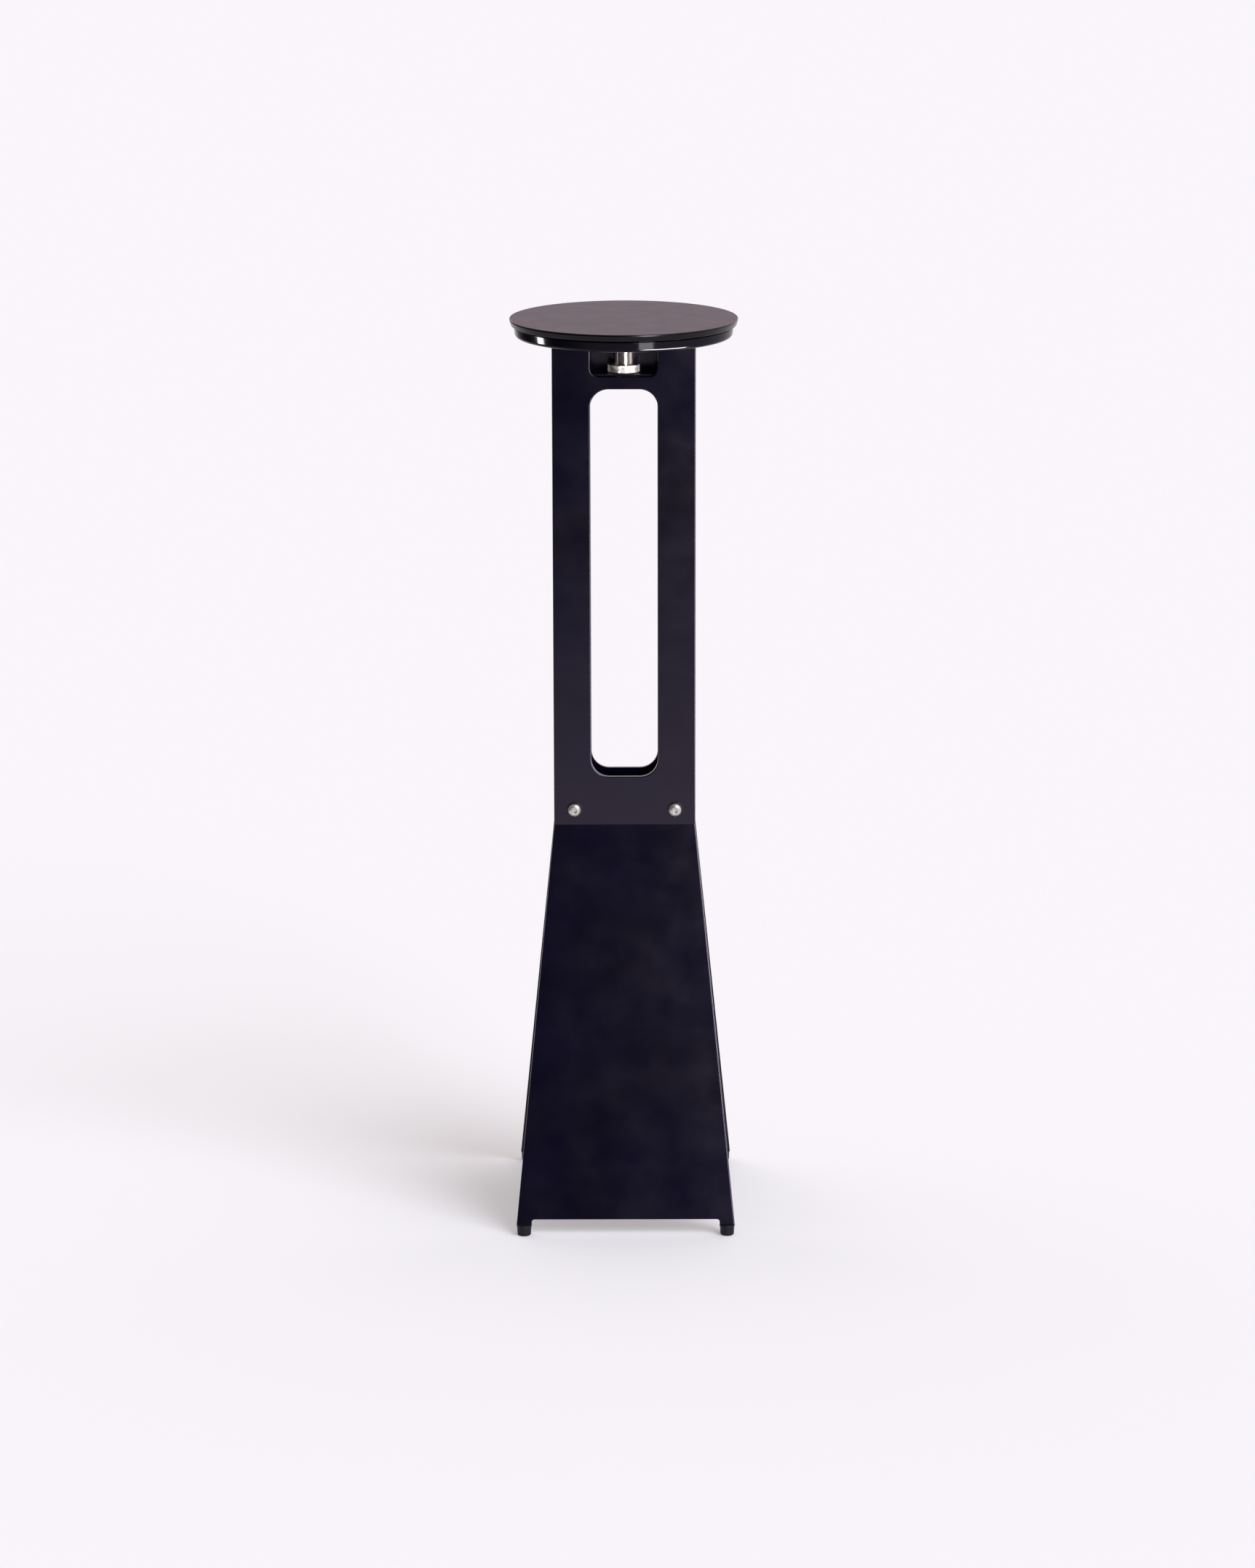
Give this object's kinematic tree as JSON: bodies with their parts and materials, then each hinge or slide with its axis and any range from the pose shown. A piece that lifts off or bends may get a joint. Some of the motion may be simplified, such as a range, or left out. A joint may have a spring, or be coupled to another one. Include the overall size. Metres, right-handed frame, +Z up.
{
  "type": "sculpting turntable",
  "caption": "Free-standing steel sculpting turntable: slotted folded-plate column with splayed legs, knurled lock ring and a round head that spins on ball bearings.",
  "frame": {"origin": "on the floor at the middle of the object's footprint, which lies on the head's spin axis", "axes": "+Z up along the spin axis, -Y out of the front panel (the one with the finger bay), +X to the right seen from the front"},
  "size_m": [0.25, 0.282, 1.01],
  "materials": {
    "black_coat": "satin black powder coat",
    "plate_coat": "fine matte black coat",
    "pan_gloss": "gloss black enamel",
    "foot_rubber": "moulded black rubber",
    "washer_nylon": "black nylon",
    "stainless": "plain stainless steel",
    "brushed_post": "turned and brushed stainless steel",
    "knurled_steel": "diamond-knurled bright steel",
    "bearing_steel": "ground bearing steel",
    "spring_steel": "blackened spring steel",
    "cage_brass": "machined brass"
  },
  "bodies": {
    "stand": {"front_panel": "black_coat", "rear_panel": "black_coat", "top_bridge": "black_coat", "foot_front_left": "foot_rubber", "foot_front_right": "foot_rubber", "foot_rear_left": "foot_rubber", "foot_rear_right": "foot_rubber", "front_spacer_screws": "stainless", "rear_spacer_screws": "stainless", "front_washers": "washer_nylon", "rear_washers": "washer_nylon", "spacer_left": "stainless", "spacer_right": "stainless", "bridge_screws": "stainless", "post": "brushed_post", "key_pin": "bearing_steel", "post_circlip": "spring_steel", "race_spacer": "bearing_steel", "lower_inner_race": "bearing_steel", "upper_inner_race": "bearing_steel"},
    "head": {"top_plate": "plate_coat", "under_pan": "pan_gloss", "plate_screws": "stainless", "lower_outer_race": "bearing_steel", "upper_outer_race": "bearing_steel"},
    "lock_ring": {"lock_ring": "knurled_steel"},
    "lower_ball_cage": {"lower_cage": "cage_brass", "lower_balls": "bearing_steel"},
    "upper_ball_cage": {"upper_cage": "cage_brass", "upper_balls": "bearing_steel"}
  },
  "joints": [
    {"name": "head_spin", "type": "hinge", "parent": "stand", "child": "head", "pos_m": [0, 0, 0.99], "axis": [0, 0, 1], "continuous": true},
    {"name": "lower_cage_orbit", "type": "hinge", "parent": "stand", "child": "lower_ball_cage", "pos_m": [0, 0, 0.9805], "axis": [0, 0, 1], "continuous": true},
    {"name": "upper_cage_orbit", "type": "hinge", "parent": "stand", "child": "upper_ball_cage", "pos_m": [0, 0, 0.9955], "axis": [0, 0, 1], "continuous": true},
    {"name": "lock_ring_turn", "type": "hinge", "parent": "stand", "child": "lock_ring", "pos_m": [0, 0, 0.955], "axis": [0, 0, 1], "range_deg": [0, 360]}
  ],
  "couplings": [
    {"joint": "lower_cage_orbit", "follows": "head_spin", "ratio": 0.5581},
    {"joint": "upper_cage_orbit", "follows": "head_spin", "ratio": 0.5581}
  ]
}
